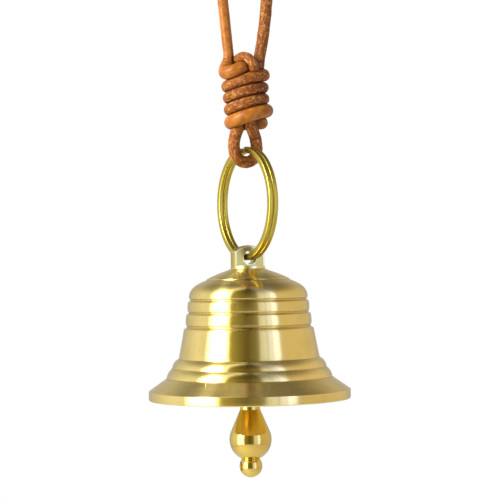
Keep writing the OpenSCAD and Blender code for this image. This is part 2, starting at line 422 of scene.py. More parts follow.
def brass(name, look, clean, dull_and_shade, lines, depth, shine, smudges, spread=0.0, amount=0.5, place=None):
    """Turned or drawn brass. Lines is rings per mm, depth how deep they are in mm, shine the least roughness,
    smudges how much hands have dulled it, and spread how far the rings stretch a reflection."""
    found = bpy.data.materials.get(name)
    if found:
        return found
    material, tree, shader = new_material(name)
    if place:
        where = put(tree, "ShaderNodeAttribute", attribute_name=place).outputs["Vector"]
    else:
        where = put(tree, "ShaderNodeTexCoord").outputs["Object"]
    edge = put(tree, "ShaderNodeAttribute", attribute_name="edge").outputs["Fac"]
    # Painted shade: the recess attribute darkens the brass colour
    recess = put(tree, "ShaderNodeAttribute", attribute_name="recess").outputs["Fac"]
    turning = group_node(tree, shared_group("turning_lines", turning_lines_group), {"Place": where, "Lines": lines})
    marks = group_node(tree, shared_group("handling_marks", handling_marks_group), {"Place": where})
    tarnish_and_shade = group_node(tree, shared_group("brass_tarnish_and_shade", tarnish_and_shade_group), {
        "Place": where, "Clean": opaque(clean), "Dull and shade": opaque(dull_and_shade), "Bright": opaque(look.brass_edge),
        "Recess": recess, "Edge": edge, "Amount": amount})
    tree.links.new(tarnish_and_shade["Colour"], shader.inputs["Base Color"])
    rough = work(tree, "MULTIPLY_ADD", marks["Smudge"], smudges, shine)
    rough = work(tree, "MULTIPLY_ADD", turning["Streaks"], 0.05, rough)
    rough = work(tree, "MULTIPLY_ADD", tarnish_and_shade["Dullness"], 0.12, rough)
    rough = work(tree, "MULTIPLY_ADD", marks["Scratch"], 0.1, rough)
    tree.links.new(rough, shader.inputs["Roughness"])
    shader.inputs["Metallic"].default_value = 1.0
    height = work(tree, "MULTIPLY_ADD", marks["Scratch"], -0.35, turning["Height"])
    bump = put(tree, "ShaderNodeBump", {"Height": height, "Distance": depth * MM, "Strength": 1.0})
    tree.links.new(bump.outputs[0], shader.inputs["Normal"])
    if spread:
        shader.inputs["Anisotropic"].default_value = spread
        shader.inputs["Anisotropic Rotation"].default_value = 0.25
        tangent = put(tree, "ShaderNodeTangent", direction_type="RADIAL", axis="Z")
        tree.links.new(tangent.outputs[0], shader.inputs["Tangent"])
    return material


# ---------------------------------------------------------------- settings


class BellSizes(bpy.types.PropertyGroup):
    """Sizes of the turned and formed pieces."""

    mouth_width: bpy.props.FloatProperty(
        name="Mouth width", description="Outside width of the bell's lip", unit="LENGTH",
        default=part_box("bell_shell")[1].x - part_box("bell_shell")[0].x)
    lip_band: bpy.props.FloatProperty(
        name="Lip band", description="Height of the upright band round the lip", unit="LENGTH", default=0.00235)
    segments: bpy.props.IntProperty(
        name="Segments", description="Facets round a turned piece", default=256, min=48, max=512)
    corner: bpy.props.FloatProperty(
        name="Corner", description="Rounding of the turned edges", unit="LENGTH", default=0.0001)


class CordSizes(bpy.types.PropertyGroup):
    """Sizes of the leather cord."""

    thickness: bpy.props.FloatProperty(
        name="Thickness", description="Diameter of the round leather cord", unit="LENGTH", default=0.0032)
    length: bpy.props.FloatProperty(
        name="Length", description="Length of the whole cord, knot and all", unit="LENGTH", default=0.279)
    crackle: bpy.props.FloatProperty(
        name="Crackle", description="Depth of the cracked grain on the rough stretches", unit="LENGTH",
        default=0.00009)


class FinishColours(bpy.types.PropertyGroup):
    """Colours of the brass, the leather and the stage."""

    brass_clean: bpy.props.FloatVectorProperty(
        name="Clean brass", description="Polished brass", subtype="COLOR", default=(0.88, 0.67, 0.22))
    # Tarnish colour of the brass, also used as painted shade in recesses and inside the bell
    brass_dull_and_shade: bpy.props.FloatVectorProperty(
        name="Dull brass", description="Brass in recesses", subtype="COLOR", default=(0.44, 0.33, 0.075))
    brass_edge: bpy.props.FloatVectorProperty(
        name="Brass edge", description="Brass on worn edges", subtype="COLOR", default=(0.95, 0.82, 0.42))
    # Brass of the lug, made darker as painted shade on the lug
    lug_brass: bpy.props.FloatVectorProperty(
        name="Lug brass", description="Paler milled brass of the lug", subtype="COLOR", default=(0.54, 0.46, 0.12))
    clapper_brass: bpy.props.FloatVectorProperty(
        name="Clapper brass", description="Deeper brass of the clapper", subtype="COLOR", default=(0.76, 0.55, 0.13))
    ring_brass: bpy.props.FloatVectorProperty(
        name="Ring brass", description="Drawn brass of the split ring", subtype="COLOR", default=(0.53, 0.41, 0.05))
    ring_dull: bpy.props.FloatVectorProperty(
        name="Ring, dull", description="Brass between the ring's turns", subtype="COLOR", default=(0.3, 0.19, 0.02))
    leather: bpy.props.FloatVectorProperty(
        name="Leather", description="Tan leather where it is smooth", subtype="COLOR", default=(0.44, 0.152, 0.009))
    leather_rough: bpy.props.FloatVectorProperty(
        name="Leather, rough", description="Tan leather where it is grainy", subtype="COLOR",
        default=(0.25, 0.058, 0.0025))
    # Colour of the leather's cracks, also used as painted shade where its surface sinks and where the cord lies against
    # itself
    leather_crack_and_shade: bpy.props.FloatVectorProperty(
        name="Leather, dark", description="Leather in its cracks and folds", subtype="COLOR",
        default=(0.11, 0.02, 0.003))
    leather_pale: bpy.props.FloatVectorProperty(
        name="Leather, pale", description="Leather where its skin is rubbed", subtype="COLOR",
        default=(0.70, 0.38, 0.11))
    floor: bpy.props.FloatVectorProperty(
        name="Floor", description="Pale floor", subtype="COLOR", default=(0.95, 0.93, 0.88))


# ---------------------------------------------------------------- leather cord


def ring_plane(points):
    """Points given as (place along the split ring's axis, height) turned into (x, y, height)."""
    return [(s * math.cos(RING_TURN), s * math.sin(RING_TURN), z) for s, z in points]


def half_turn(start_x, start_z, end_x, end_z, depth, steps=6):
    """Half a turn of the winding from one side to the other; depth is below zero in front."""
    points = []
    for i in range(steps):
        t = math.pi * i / steps
        share = (1 - math.cos(t)) / 2
        points.append((start_x + (end_x - start_x) * share, depth * math.sin(t), start_z + (end_z - start_z) * share))
    return points


# Each turn of the winding: left x and height, right x and height, thickness, roughness of the grain
TURNS = [(-3.85, 72.9, 5.6, 75.9, 1.14, 0.12), (-4.15, 76.4, 4.9, 79.0, 0.97, 0.85),
         (-4.4, 79.4, 4.75, 82.0, 0.97, 0.95), (-4.7, 82.4, 5.1, 85.2, 1.0, 0.8)]
TURN_DEPTH = 4.65
# Painted shade darkens the cord where it lies this near the middle of another stretch of itself, in mm
CREASE_SHADE_FROM, CREASE_SHADE_TO = 2.45, 1.75
# Length of the cord's last stretch, which is pulled tight into the winding, in mm
TUCK = 8.0


def cord_route():
    """The cord's places from its hidden end in the knot to its other one, in mm, as (x, y, height, thickness, grain)."""
    route = []

    def lay(points, thick, rough):
        route.extend((*p, thick, rough) for p in points)

    lay([(0.9, 1.6, 77.0), (1.1, 1.6, 80.0), (1.9, 1.3, 83.2), (2.9, 0.6, 85.6)], 0.95, 0.8)
    lay([(3.6, 0.1, 87.6), (3.95, 0, 90), (4.7, 0, 94), (5.4, 0, 98.5), (5.9, 0, 103), (6.2, 0, 107.5),
         (6.1, 0, 111.5)], 0.98, 0.9)
    lay([(5.2, 0, 115), (3, 0, 117.4), (0, 0, 118), (-3, 0, 117.4), (-5.1, 0, 115)], 0.95, 0.5)
    lay([(-5.8, 0, 111.5), (-5.7, 0, 107.5), (-5.3, 0, 103), (-4.9, 0, 98.5), (-4.5, 0, 94), (-4.2, 0, 90.4)],
        0.88, 0.1)
    lay([(-4.5, -0.3, 88.2), (-5.15, -1.3, 86.5), (-4.8, -3.1, 85.7), (-3.4, -4.5, 85.8), (-1.9, -4.7, 86.3),
         (-0.8, -4.0, 86.7)], 1.12, 0.15)
    lay([(0.0, -2.6, 86.2), (0.3, -1.6, 84.6), (0.2, -1.6, 82.0), (0.0, -1.6, 79.0), (0.4, -1.6, 75.6)], 0.92, 0.5)
    lay([(1.15, -1.7, 72.9), (1.75, -1.1, 70.9)], 1.0, 0.9)
    lay(ring_plane([(2.75, 69.2), (3.1, 67.5), (3.2, 65.7), (2.75, 64.03), (1.53, 62.8), (-0.15, 62.35),
                    (-1.83, 62.8), (-3.05, 64.03), (-3.5, 65.7), (-3.5, 67.5), (-3, 69.5)]), 1.0, 0.8)
    lay([(-2.1, -0.9, 71.3), (-1.0, 0.6, 72.5), (0.9, 1.6, 73.1), (2.7, 1.3, 73.0), (3.8, 1.3, 72.9),
         (4.2, 2.6, 72.9), (2.7, 4.1, 72.9), (0.2, 4.7, 72.9), (-1.8, 4.4, 73.0), (-3.3, 2.7, 73.0)], 1.08, 0.35)
    for i, (left_x, left_z, right_x, right_z, thick, rough) in enumerate(TURNS):
        lay(half_turn(left_x, left_z, right_x, right_z, -TURN_DEPTH), thick, rough)
        if i + 1 < len(TURNS):
            lay(half_turn(right_x, right_z, TURNS[i + 1][0], TURNS[i + 1][1], TURN_DEPTH), thick, rough)
    lay([(5.1, 0.2, 85.3), (4.4, 2.6, 85.9), (2.5, 4.2, 86.3), (0.2, 4.6, 86.8), (-1.5, 3.8, 87.5)], 1.0, 0.7)
    lay([(-2.3, 2.2, 88.3), (-2.1, 0.6, 89.0), (-1.4, -0.9, 89.7), (-0.3, -2.4, 89.9), (0.9, -3.7, 89.4),
         (1.8, -4.5, 88.3), (2.3, -4.5, 87.0), (2.5, -3.7, 85.8), (2.4, -2.6, 84.8), (2.2, -1.7, 83.8)], 0.86, 0.9)
    return np.array(route)


def smooth_line(points, step):
    """A smooth line through the points, with places about a step apart."""
    fine = []
    for i in range(len(points) - 1):
        a, b, c, d = (points[min(max(k, 0), len(points) - 1)] for k in (i - 1, i, i + 1, i + 2))
        for t in np.linspace(0, 1, 24, endpoint=False):
            fine.append(0.5 * (2 * b + (c - a) * t + (2 * a - 5 * b + 4 * c - d) * t**2
                               + (3 * b - a - 3 * c + d) * t**3))
    fine = np.array(fine + [points[-1]])
    for _ in range(30):
        fine[1:-1] = (fine[:-2] + 2 * fine[1:-1] + fine[2:]) / 4
    along = np.concatenate([[0], np.cumsum(np.linalg.norm(np.diff(fine[:, :3], axis=0), axis=1))])
    at = np.linspace(0, along[-1], math.ceil(along[-1] / step) + 1)
    return np.stack([np.interp(at, along, fine[:, k]) for k in range(fine.shape[1])], axis=1), at


def crackle(around, along, rough):
    """How far the leather's surface stands out, from the noise of its cracked grain."""
    place = Vector((math.cos(around) * 1.6, math.sin(around) * 1.6, along))
    broad = noise.noise(place * 0.5)
    lumps = noise.noise(place * 1.25)
    plates = noise.voronoi(Vector((place.x * 1.25, place.y * 1.25, place.z * 0.95)))[0]
    crack = -max(0.0, 1 - (plates[1] - plates[0]) / 0.25)
    fine = noise.noise(place * 3.0)
    return 0.5 * broad * (0.4 + rough) + rough * (0.8 * crack + 0.6 * lumps + 0.3 * fine) + 0.06 * fine


def make_cord(sizes):
    """The tube of the leather cord with its folds and cracked grain, and the line that it follows."""
    line, along = smooth_line(cord_route(), 0.21)
    centre, thick, rough = line[:, :3], line[:, 3], line[:, 4]
    way = np.gradient(centre, axis=0)
    way /= np.linalg.norm(way, axis=1)[:, None]
    bend = np.gradient(way, along, axis=0)
    side = np.cross(way[0], (0, 1, 0))
    side /= np.linalg.norm(side)
    sides, radius = 40, sizes.thickness / 2 / MM
    near = KDTree(len(centre))
    for i, p in enumerate(centre):
        near.insert(p, i)
    near.balance()
    points, place, grains = [], [], []
    for i, p in enumerate(centre):
        side = side - way[i] * side.dot(way[i])
        side /= np.linalg.norm(side)
        up = np.cross(way[i], side)
        sharp = np.linalg.norm(bend[i])
        for k in range(sides):
            a = math.tau * k / sides
            out = math.cos(a) * side + math.sin(a) * up
            inner = max(0.0, out.dot(bend[i]) / max(sharp, 1e-6)) * min(1.0, sharp * 3.0)
            fold = inner * (0.05 * math.sin(along[i] * 4.6 + 1.6 * math.sin(a)) - 0.04)
            rise = sizes.crackle / MM * crackle(a, along[i], rough[i]) + fold
            points.append(p + out * (radius * thick[i] + rise))
            place.append((math.cos(a) * 1.6, math.sin(a) * 1.6, along[i]))
            # Painted shade where the cord lies against another stretch of itself, but not against its last, tucked
            # stretch
            beside = [d for _, j, d in near.find_range(points[-1], CREASE_SHADE_FROM)
                      if abs(along[i] - along[j]) > 2 * CREASE_SHADE_FROM and along[-1] - along[j] > TUCK]
            crease_shade = (CREASE_SHADE_FROM - min(beside, default=CREASE_SHADE_FROM)) / (CREASE_SHADE_FROM - CREASE_SHADE_TO)
            grains.append((rough[i], rise, min(1.0, crease_shade)))
    faces = []
    for i in range(len(centre) - 1):
        for k in range(sides):
            a, b = i * sides + k, i * sides + (k + 1) % sides
            faces.append((a, b, b + sides, a + sides))
    first, last = len(points), len(points) + 1
    points += [centre[0], centre[-1]]
    place += [(0, 0, along[0]), (0, 0, along[-1])]
    grains += [(0.5, 0, 1), (0.5, 0, 1)]
    tail = (len(centre) - 1) * sides
    for k in range(sides):
        faces.append((first, (k + 1) % sides, k))
        faces.append((last, tail + k, tail + (k + 1) % sides))
    shift = np.array((0, 0, RIM_Z))
    mesh = bpy.data.meshes.new("leather_cord")
    mesh.from_pydata([tuple(np.array(p) * MM + shift) for p in points], [], faces)
    layer = mesh.attributes.new("cord_place", "FLOAT_VECTOR", "POINT")
    layer.data.foreach_set("vector", np.array(place, np.float32).ravel())
    for name, column in (("grain", 0), ("rise", 1), ("crease_shade", 2)):
        layer = mesh.attributes.new(name, "FLOAT", "POINT")
        layer.data.foreach_set("value", np.array(grains, np.float32)[:, column])
    piece = bpy.data.objects.new("leather_cord", mesh)
    bpy.context.scene.collection.objects.link(piece)
    return piece, centre * MM + shift


def leather_material(look):
    """Waxed tan leather, smooth on some stretches and cracked and rubbed on others, with painted shade in its low spots
    and where the cord lies against itself.
    """
    material, tree, shader = new_material("tan_leather")
    place = put(tree, "ShaderNodeAttribute", attribute_name="cord_place").outputs["Vector"]
    rough = put(tree, "ShaderNodeAttribute", attribute_name="grain").outputs["Fac"]
    rise = put(tree, "ShaderNodeAttribute", attribute_name="rise").outputs["Fac"]
    crease_shade = put(tree, "ShaderNodeAttribute", attribute_name="crease_shade").outputs["Fac"]
    stretched = put(tree, "ShaderNodeMapping", {"Vector": place, "Scale": (1.0, 1.0, 0.6)}).outputs[0]
    stray = put(tree, "ShaderNodeTexNoise", {"Vector": place, "Scale": 1.7, "Detail": 3.0}).outputs["Color"]
    bent = put(tree, "ShaderNodeVectorMath", {0: stray, 1: (0.9, 0.9, 0.9), 2: stretched},
               operation="MULTIPLY_ADD").outputs[0]
    cells = put(tree, "ShaderNodeTexVoronoi", {"Vector": bent, "Scale": 1.8, "Randomness": 1.0},
                feature="DISTANCE_TO_EDGE").outputs[0]
    crack = ranged(tree, cells, 0.0, 0.17, 1.0, 0.0)
    crack = work(tree, "MULTIPLY", crack, work(tree, "MULTIPLY_ADD", rough, 0.85, 0.05))
    patches = ranged(tree, grain(tree, place, 0.5, 4.0, 0.65), 0.42, 0.62)
    speckle = ranged(tree, grain(tree, stretched, 1.7, 5.0, 0.8), 0.5, 0.6)
    speckle = work(tree, "MULTIPLY", speckle, work(tree, "MULTIPLY_ADD", rough, 0.85, 0.02))
    pores = grain(tree, place, 9.0, 3.0, 0.6)
    # Painted shade where the surface sinks, in its cracks and on the inner side of bends
    low = ranged(tree, rise, -0.09, -0.01, 1.0, 0.0)
    colour = mixed(tree, work(tree, "MULTIPLY", patches, 0.7), opaque(look.leather),
                   opaque([c * f for c, f in zip(look.leather, (0.6, 0.4, 0.3))]))
    colour = mixed(tree, work(tree, "MULTIPLY", rough, 0.7), colour, opaque(look.leather_rough))
    colour = mixed(tree, speckle, colour, opaque(look.leather_pale))
    dark = work(tree, "MAXIMUM", work(tree, "MULTIPLY", crack, 0.75), work(tree, "MULTIPLY", low, 0.85))
    # Painted shade where the cord lies against another stretch of itself
    dark = work(tree, "MAXIMUM", dark, ranged(tree, crease_shade, 0.1, 1.0, 0.0, 0.95))
    # Cracks, and painted shade from the masks above
    colour = mixed(tree, dark, colour, opaque(look.leather_crack_and_shade))
    tree.links.new(colour, shader.inputs["Base Color"])
    gloss = work(tree, "MULTIPLY_ADD", rough, 0.2, 0.26)
    gloss = work(tree, "MULTIPLY_ADD", pores, 0.12, gloss)
    tree.links.new(work(tree, "MULTIPLY_ADD", dark, 0.25, gloss), shader.inputs["Roughness"])
    shader.inputs["Specular IOR Level"].default_value = 0.2
    shader.inputs["Coat Roughness"].default_value = 0.3
    tree.links.new(ranged(tree, rough, 0.1, 0.9, 0.14, 0.0, False), shader.inputs["Coat Weight"])
    height = work(tree, "MULTIPLY_ADD", crack, -1.0, work(tree, "MULTIPLY", pores, 0.5))
    height = work(tree, "MULTIPLY_ADD", speckle, 0.35, height)
    bump = put(tree, "ShaderNodeBump", {"Height": height, "Distance": 0.05 * MM, "Strength": 1.0})
    tree.links.new(bump.outputs[0], shader.inputs["Normal"])
    return material


class BELLMAKER_OT_leather_cord(bpy.types.Operator):
    """Makes the leather cord, its closed loop and its wound knot"""

    bl_idname = "bellmaker.leather_cord"
    bl_label = "Leather cord"

    def execute(self, context):
        sizes = context.scene.cord_sizes
        piece, line = make_cord(sizes)
        piece.data.materials.append(leather_material(context.scene.finish_colours))
        choose(piece)
        bpy.ops.object.mode_set(mode="EDIT")
        close_up()
        bpy.ops.object.shade_smooth()
        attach(piece, "cord")
        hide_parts("cord_loop", "cord_knot", "cord_bight")
        return {"FINISHED"}


# ---------------------------------------------------------------- split ring


class BELLMAKER_OT_split_ring(bpy.types.Operator):
    """Sweeps the split ring's wire through two turns, with the step where it crosses over"""

    bl_idname = "bellmaker.split_ring"
    bl_label = "Split ring"

    outer, wide, deep, gap = 15.0, 1.6, 1.3, 0.05
    corner, cross, tip = 0.36, math.radians(7), math.radians(2)

    def section(self, shift):
        """Rounded section of the wire, as (distance from the centre, place along the axis)."""
        w, d, c = self.wide / 2, self.deep / 2, self.corner
        points = []
        for x, y, start in ((w - c, d - c, 0), (c - w, d - c, 90), (c - w, c - d, 180), (w - c, c - d, 270)):
            points += arc((x, y), c, start, start + 90, 5)
        return [(self.outer - w + x, y + shift) for x, y in points]

    def execute(self, context):
        shift = (self.deep + self.gap) / 2
        axis = Vector((math.cos(RING_TURN), math.sin(RING_TURN), 0))
        centre = Vector((0, 0, RIM_Z + RING_HEIGHT * MM))
        start = math.radians(155) + self.cross * 2 + self.tip
        out = Matrix.Rotation(start, 3, axis) @ Vector((0, 0, -1))
        places = [centre + out * r * MM + axis * a * MM for r, a in self.section(-shift)]
        piece = start_line("split_ring_wire", places[0])
        draw_line(places + places[:1])
        bpy.ops.mesh.select_all(action="SELECT")
        bpy.ops.mesh.remove_doubles(threshold=1e-6)
        bpy.ops.mesh.select_all(action="SELECT")
        turn = math.tau - 2 * self.cross - self.tip
        settings = {"center": tuple(centre), "axis": tuple(axis), "use_auto_merge": False}
        steps = 14
        bpy.ops.mesh.spin(steps=180, angle=turn, **settings)
        for i in range(steps):
            move = [t * t * (3 - 2 * t) for t in (i / steps, (i + 1) / steps)]
            bpy.ops.mesh.spin(steps=1, angle=2 * self.cross / steps, **settings)
            bpy.ops.transform.translate(value=tuple(axis * 2 * shift * MM * (move[1] - move[0])))
        bpy.ops.mesh.spin(steps=180, angle=turn, **settings)
        bpy.ops.mesh.select_all(action="SELECT")
        bpy.ops.mesh.fill_holes(sides=0)
        close_up()
        self.note_place(piece, centre, axis)
        look = context.scene.finish_colours
        material = brass("drawn_ring_brass", look, look.ring_brass, look.ring_dull, 1.6, 0.004, 0.27, 0.05,
                         place="wire_place")
        hand_over(piece, material, "ring", "ring_brass", "split_ring")
        return {"FINISHED"}

    @staticmethod
    def note_place(piece, centre, axis):
        """Keeps on each point its place across and along the wire, for the drawing lines."""
        side = axis.cross(Vector((0, 0, 1)))
        places = []
        for v in piece.data.vertices:
            p = v.co - centre
            lift = p.dot(axis)
            angle = math.atan2(p.z, p.dot(side))
            radius = (p - axis * lift).length
            places += [radius, 0.0, lift + 0.00004 * angle]
        layer = piece.data.attributes.new("wire_place", "FLOAT_VECTOR", "POINT")
        layer.data.foreach_set("vector", places)


# ---------------------------------------------------------------- bell


def shell_outline(lip_r, band):
    """The bell's closed outline: outside from the lip up to the crown, then back down the inside."""
    outside = [(lip_r - 0.2, 0), (lip_r, 0.2), (lip_r, band), (22.1, 5.5)]
    for a, b, c, d, steps in (
            ((21.85, 5.7), (21.75, 6.7), (21.2, 7.6), (20.5, 8.15), 10),
            ((20.4, 8.3), (20.3, 9.3), (19.6, 10.4), (18.65, 10.75), 10),
            ((18.55, 11), (18.1, 13.2), (17.5, 16.4), (17.13, 18.5), 8),
            ((17.08, 18.6), (16.2, 18.9), (16.2, 19.4), (16.55, 19.7), 8),
            ((16.6, 19.8), (16.62, 20.8), (16.55, 21.6), (16.42, 22.25), 7),
            ((16.38, 22.35), (15.7, 22.6), (15.7, 23), (16.02, 23.25), 8),
            ((16.06, 23.35), (16.1, 24.3), (16.06, 25), (15.95, 25.6), 7),
            ((15.9, 25.7), (15.25, 25.95), (15.25, 26.35), (15.62, 26.6), 8),
            ((15.68, 26.75), (15.68, 29.3), (13.5, 30.4), (11, 31.35), 18),
            ((10.9, 31.62), (9.2, 32.5), (7.2, 33.3), (5.4, 33.85), 8)):
        outside += curve(a, b, c, d, steps)
    inside = [(5, 34.05), (4.75, 34.2), (2.65, 34.2), (2.65, 31.4), (5.6, 31.4)]
    for a, b, c, d, steps in (
            ((6.2, 31.1), (10.6, 30.2), (13.6, 29), (13.7, 26.2), 12),
            ((13.7, 26.1), (14.7, 19), (16, 13), (16.9, 10.2), 8),
            ((17.5, 8.6), (18.6, 6.2), (20.6, 4), (22.8, 2.3), 8)):
        inside += curve(a, b, c, d, steps)
    return outside + inside + [(24.25, 0.7), (24.6, 0)]


class BELLMAKER_OT_bell_shell(bpy.types.Operator):
    """Turns the bell's hollow shell"""

    bl_idname = "bellmaker.bell_shell"
    bl_label = "Bell shell"

    def execute(self, context):
        sizes, look = context.scene.bell_sizes, context.scene.finish_colours
        outline = shell_outline(sizes.mouth_width / 2 / MM, sizes.lip_band / MM)
        start = (25.5, 0.0)
        outline = rounded([start] + outline + [start], sizes.corner / MM)
        piece = turned("bell_shell_turned", outline, sizes.segments)
        material = brass("turned_bell_brass", look, look.brass_clean, look.brass_dull_and_shade, 6.0, 0.004, 0.16, 0.05, spread=1.0)
        hand_over(piece, material, "bell", "shell_brass", "bell_shell")
        self.dull_and_shade_inside(piece)
        return {"FINISHED"}


    @staticmethod
    def dull_and_shade_inside(piece):
        """Marks the inside of the bell and the underside of its crown as a recess: darker there as painted shade, and
        rougher, as brass that was never polished.
        """
        recess = piece.data.attributes["recess"].data
        for v in piece.data.vertices:
            # Painted shade on faces turned inwards and under the crown
            faces_in = v.co.x * v.normal.x + v.co.y * v.normal.y < -1e-4 * MM
            under_crown = v.normal.z < -0.5 and v.co.z > RIM_Z + 25 * MM
            if faces_in or under_crown:
                recess[v.index].value = max(recess[v.index].value, 0.5)


# ---------------------------------------------------------------- lug and fixings


class BELLMAKER_OT_hanger_lug(bpy.types.Operator):
    """Turns the lug with its stud, mills its flats and tongue, and drills both holes"""

    bl_idname = "bellmaker.hanger_lug"
    bl_label = "Hanger lug"

    def execute(self, context):
        top, dome, ledge, ceiling, stud_end = 40.45, 7.0, 34.95, 31.4, 26.9
        side_z = top - dome + math.sqrt(dome**2 - 4.5**2)
        outline = arc((0, top - dome), dome, 90, math.degrees(math.atan2(side_z - top + dome, 4.5)), 14)
        outline += [(4.5, 34.2), (2.5, 34.2), (2.5, ceiling)]
        pitch = 0.8
        for i in range(5):
            z = ceiling - (i + 0.25) * pitch
            outline += [(2.5, z + 0.15), (2.2, z - 0.05), (2.2, z - 0.15), (2.5, z - 0.35)]
        outline += [(2.2, stud_end), (2.0, stud_end), (2.0, 21.6), (0, 21.6)]
        piece = turned("hanger_lug_turned", rounded(outline, 0.06), 128)
        for y in (-1, 1):
            for low, high, half in ((ledge, top + 2, 2.0), (20, stud_end, 1.2)):
                waste = slab("waste", [(-9, low), (9, low), (9, high), (-9, high)], 8)
                choose(waste)
                bpy.ops.transform.translate(value=(0, y * (half + 4) * MM, 0))
                bpy.ops.object.transform_apply(location=True, rotation=True, scale=True)
                combine(piece, waste, "DIFFERENCE")
        under = [(3, 23.9)] + arc((0, 23.9), 2.0, 0, -180, 24) + [(-3, 23.9), (-3, 20), (3, 20)]
        combine(piece, slab("waste", under, 8), "DIFFERENCE")
        across = (math.pi / 2, 0, 0)
        combine(piece, bar(1.8, 20, (0, 0, 37.2), across), "DIFFERENCE")
        combine(piece, bar(1.0, 10, (0, 0, 23.9), across), "DIFFERENCE")
        ease_edges(piece, 0.12)
        slice_up(piece, [-4 + 0.5 * i for i in range(17)], [35.2 + 0.4 * i for i in range(13)])
        turn_piece(piece, LUG_TURN)
        look = context.scene.finish_colours
        # Painted shade: the lug's darker brass colour
        material = brass("milled_lug_brass", look, look.lug_brass, look.brass_dull_and_shade, 4.0, 0.012, 0.26, 0.08)
        hand_over(piece, material, "bell", "lug_brass", "hanger_lug")
        return {"FINISHED"}


class BELLMAKER_OT_crown_fixings(bpy.types.Operator):
    """Makes the washer and the hexagon nut under the crown"""

    bl_idname = "bellmaker.crown_fixings"
    bl_label = "Crown washer and nut"

    def execute(self, context):
        look = context.scene.finish_colours
        material = brass("plain_fixing_brass", look, look.brass_clean, look.brass_dull_and_shade, 5.0, 0.02, 0.24, 0.12, amount=0.9)
        low, high = 30.4, 31.4
        washer = turned("crown_washer_turned", rounded(
            [(2.65, 31), (2.65, low), (5, low), (5, high), (2.65, high), (2.65, 31)], 0.12), 96)
        hand_over(washer, material, "bell", "fixing_brass", "crown_washer")
        low, high, flats = 27.7, 30.4, 8.0
        nut = bar(flats / 2 / math.cos(math.pi / 6), high - low, (0, 0, (low + high) / 2), (0, 0, math.pi / 6), 6)
        nut.name = nut.data.name = "crown_nut_hex"
        corner = flats / 2 / math.cos(math.pi / 6)
        past = corner + 0.1
        chamfered = turned("waste", [(0, low), (corner - 0.5, low), (past, low + 0.36), (past, high - 0.306),
                                     (corner - 0.45, high), (0, high)], 96)
        combine(nut, chamfered, "INTERSECT")
        flatten(nut)
        combine(nut, bar(2.52, 6, (0, 0, (low + high) / 2)), "DIFFERENCE")
        ease_edges(nut, 0.06, 2)
        turn_piece(nut, LUG_TURN)
        hand_over(nut, material, "bell", "fixing_brass", "crown_nut")
        return {"FINISHED"}


# ---------------------------------------------------------------- clapper


class BELLMAKER_OT_clapper_link(bpy.types.Operator):
    """Bends the wire link that carries the clapper, with the seam where its ends meet"""

    bl_idname = "bellmaker.clapper_link"
    bl_label = "Clapper link"

    def execute(self, context):
        deselect()
        height = 20.6435
        bpy.ops.mesh.primitive_torus_add(
            major_radius=3.2 * MM, minor_radius=0.6 * MM, major_segments=120, minor_segments=32,
            location=(0, 0, RIM_Z + height * MM), rotation=(0, math.pi / 2, 0))
        link = bpy.context.active_object
        link.name = link.data.name = "clapper_link_wire"
        bpy.ops.object.transform_apply(location=True, rotation=True, scale=True)
        seam = slab("waste", [(-1.5, height - 0.03), (1.5, height - 0.03), (1.5, height + 0.03), (-1.5, height + 0.03)],
                    2.0)
        choose(seam)
        bpy.ops.transform.translate(value=(0, 3.2 * MM, 0))
        bpy.ops.object.transform_apply(location=True, rotation=True, scale=True)
        combine(link, seam, "DIFFERENCE")
        turn_piece(link, LUG_TURN)
        look = context.scene.finish_colours
        hand_over(link, brass("plain_fixing_brass", look, look.brass_clean, look.brass_dull_and_shade, 5.0, 0.02, 0.24, 0.12,
                              amount=0.9), "link", "fixing_brass", "clapper_link")
        return {"FINISHED"}


class BELLMAKER_OT_clapper(bpy.types.Operator):
    """Makes the clapper's stem with its drilled head, and the teardrop bob with its drilled ball"""

    bl_idname = "bellmaker.clapper"
    bl_label = "Clapper"

    def execute(self, context):
        look = context.scene.finish_colours
        material = brass("polished_clapper_brass", look, look.clapper_brass, look.brass_dull_and_shade, 5.0, 0.0015, 0.03, 0.05, amount=0.25)
        head = 17.2935
        stem = turned("clapper_stem_turned", rounded(
            [(0, -5), (1.2, -5), (1.2, head - 1.5), (0, head - 1.5)], 0.1), 64)
        disc = slab("waste", arc((0, head), 2.2, 0, 360, 72)[:-1], 2.0)
        combine(stem, disc, "UNION")
        combine(stem, bar(1.0, 6, (0, 0, head), (math.pi / 2, 0, 0)), "DIFFERENCE")
        ease_edges(stem, 0.1)
        turn_piece(stem, LUG_TURN)
        hand_over(stem, material, "clapper", "clapper_brass", "clapper_stem")
        bore, floor = 1.25, -5.4
        outline = [(0, floor), (bore, floor), (bore, 0.6), (2.64, 0.6), (2.64, -2.8)]
        outline += arc((0, -10.7), 5.55, 22, -65, 40) + arc((0, -17.7), 3.0, 46, -90, 32)
        bob = turned("clapper_bob_turned", rounded(outline, 0.18), 160)
        combine(bob, bar(1.2, 12, (0, 0, -17.7), (0, math.pi / 2, 0)), "DIFFERENCE")
        ease_edges(bob, 0.1)
        turn_piece(bob, LUG_TURN)
        hand_over(bob, material, "clapper", "clapper_brass", "clapper_bob")
        return {"FINISHED"}


# ---------------------------------------------------------------- stage


